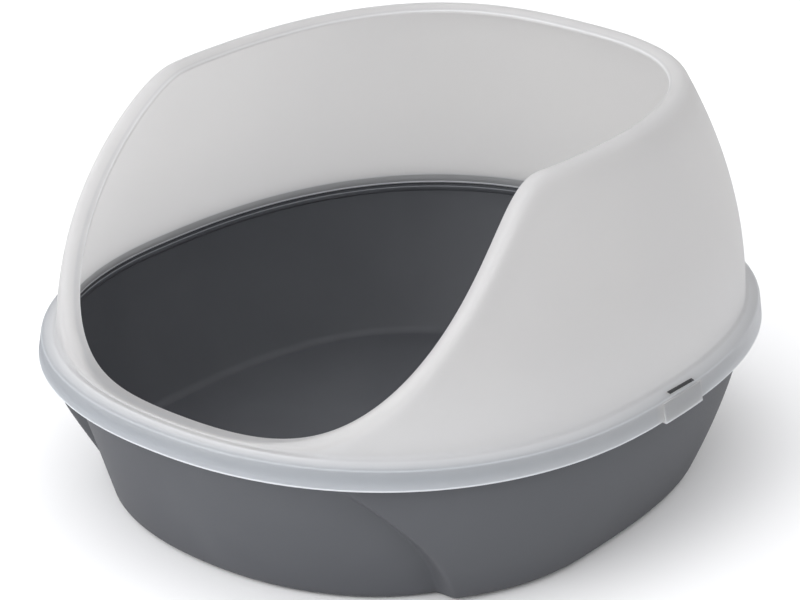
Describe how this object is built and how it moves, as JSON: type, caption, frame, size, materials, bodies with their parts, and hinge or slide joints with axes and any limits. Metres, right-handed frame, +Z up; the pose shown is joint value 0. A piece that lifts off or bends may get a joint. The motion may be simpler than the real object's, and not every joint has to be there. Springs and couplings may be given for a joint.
{
  "type": "high-sided litter box",
  "caption": "Open moulded pan with a frosted high-sided hood that sets down over its rim, low at the front for stepping in, held by a snap tab on each side.",
  "frame": {"origin": "on the surface the box stands on, under the middle of its outline", "axes": "+X to the box's right side, -Y towards the low front, +Z up"},
  "size_m": [0.4026, 0.461, 0.2435],
  "materials": {
    "pan_plastic": "satin moulded polypropylene, dark blue-grey",
    "hood_plastic": "frosted translucent polypropylene"
  },
  "bodies": {
    "pan": {"pan": "pan_plastic"},
    "hood": {"hood": "hood_plastic"},
    "right_tab": {"right_snap_tab": "hood_plastic"},
    "left_tab": {"left_snap_tab": "hood_plastic"}
  },
  "joints": [
    {"name": "hood_lift", "type": "slide", "parent": "pan", "child": "hood", "axis": [0, 0, 1], "range_m": [0, 0.12]},
    {"name": "right_tab_flex", "type": "hinge", "parent": "hood", "child": "right_tab", "pos_m": [0.198, 0.0065, 0.102], "axis": [0, -1, 0], "range_deg": [0, 8], "stiffness_Nm_per_rad": 0.5},
    {"name": "left_tab_flex", "type": "hinge", "parent": "hood", "child": "left_tab", "pos_m": [-0.198, 0.0065, 0.102], "axis": [0, 1, 0], "range_deg": [0, 8], "stiffness_Nm_per_rad": 0.5}
  ]
}
